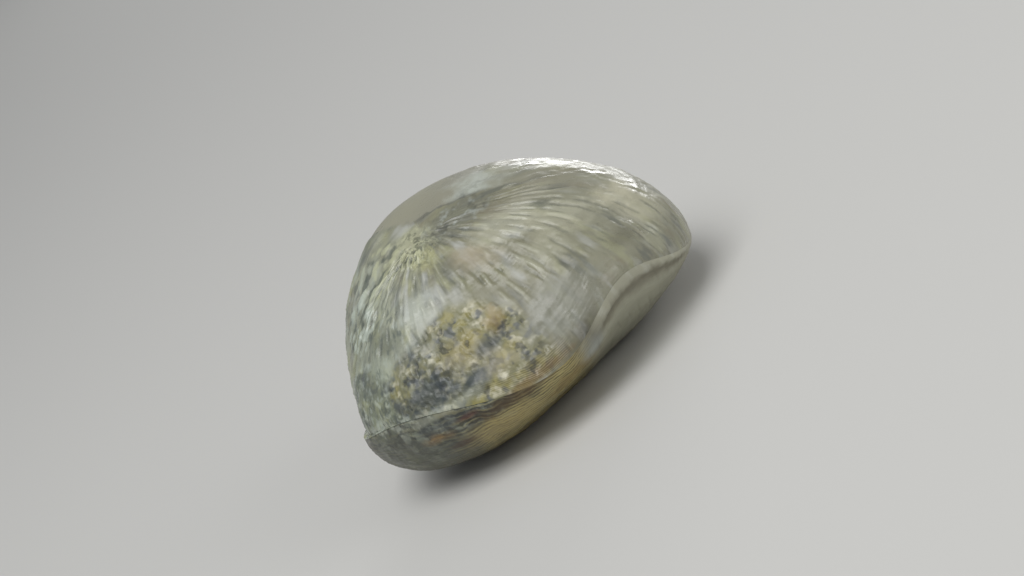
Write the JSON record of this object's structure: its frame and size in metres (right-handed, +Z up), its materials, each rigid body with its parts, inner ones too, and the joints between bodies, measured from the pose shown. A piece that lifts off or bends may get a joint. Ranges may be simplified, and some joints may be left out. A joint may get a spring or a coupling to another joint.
{
  "type": "atrypa oklahomensis fossil",
  "caption": "Closed fossil brachiopod shell with a strongly domed, ribbed upper valve and a shallow lower valve worn flat where it rests.",
  "frame": {"origin": "middle of the shell's outline seen from above, on the surface that it rests on", "axes": "+Z up from the flat spot through the domed valve, +Y from the front margin towards the beaks, +X across the shell's width"},
  "size_m": [0.0232, 0.02, 0.0134],
  "materials": {
    "brachial_stone": "semi-gloss grey-green fossil shell with cream, ochre and blue-grey patches",
    "pedicle_stone": "semi-gloss olive-grey fossil shell with rust and brown stains near the margin"
  },
  "bodies": {
    "root": {"brachial_valve": "brachial_stone", "pedicle_valve": "pedicle_stone"}
  },
  "joints": []
}
